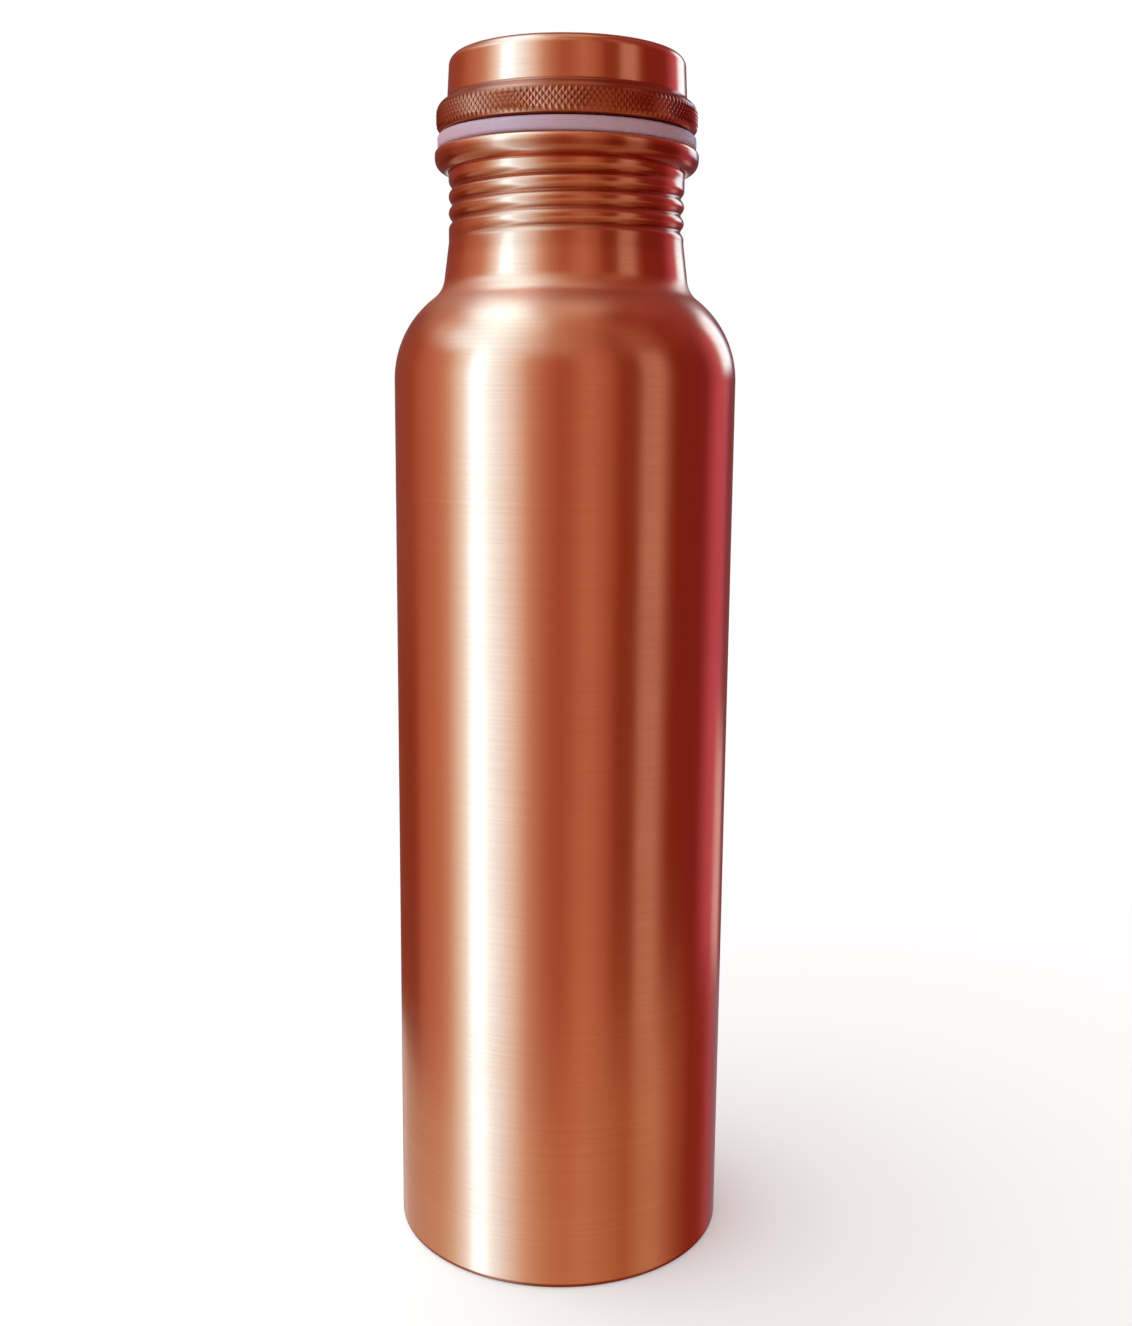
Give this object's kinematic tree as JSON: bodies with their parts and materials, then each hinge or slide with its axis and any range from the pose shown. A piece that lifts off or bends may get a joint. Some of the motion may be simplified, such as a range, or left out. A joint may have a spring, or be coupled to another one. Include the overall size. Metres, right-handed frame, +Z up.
{
  "type": "copper water bottle",
  "caption": "Tall round copper water bottle: straight wall, round shoulder, threaded neck with a curled rim, white seal and a screw cap with a knurled grip bead.",
  "frame": {"origin": "on the bottle's axis, at the surface that it stands on", "axes": "+Z up along the bottle's axis, towards the cap; -Y is the side that faces the viewer"},
  "size_m": [0.075, 0.075, 0.2637],
  "materials": {
    "copper_body": "bare copper, brushed round the wall, clear lacquered",
    "copper_base": "bare copper, as pressed",
    "white_silicone": "white silicone, matt",
    "copper_cap": "polished bare copper with a knurled grip bead",
    "copper_plug": "bare copper, rolled thread"
  },
  "bodies": {
    "bottle": {"body_shell": "copper_body", "base_disc": "copper_base"},
    "seal": {"sealing_ring": "white_silicone"},
    "cap": {"cap_shell": "copper_cap", "screw_plug": "copper_plug"}
  },
  "joints": [
    {"name": "cap_rise", "type": "slide", "parent": "bottle", "child": "seal", "axis": [0, 0, 1], "range_m": [0, 0.0208]},
    {"name": "cap_turn", "type": "hinge", "parent": "seal", "child": "cap", "pos_m": [0, 0, 0.248], "axis": [0, 0, 1], "range_deg": [0, 2160]}
  ],
  "couplings": [
    {"joint": "cap_rise", "follows": "cap_turn", "m_per_rad": 0.00054908}
  ]
}
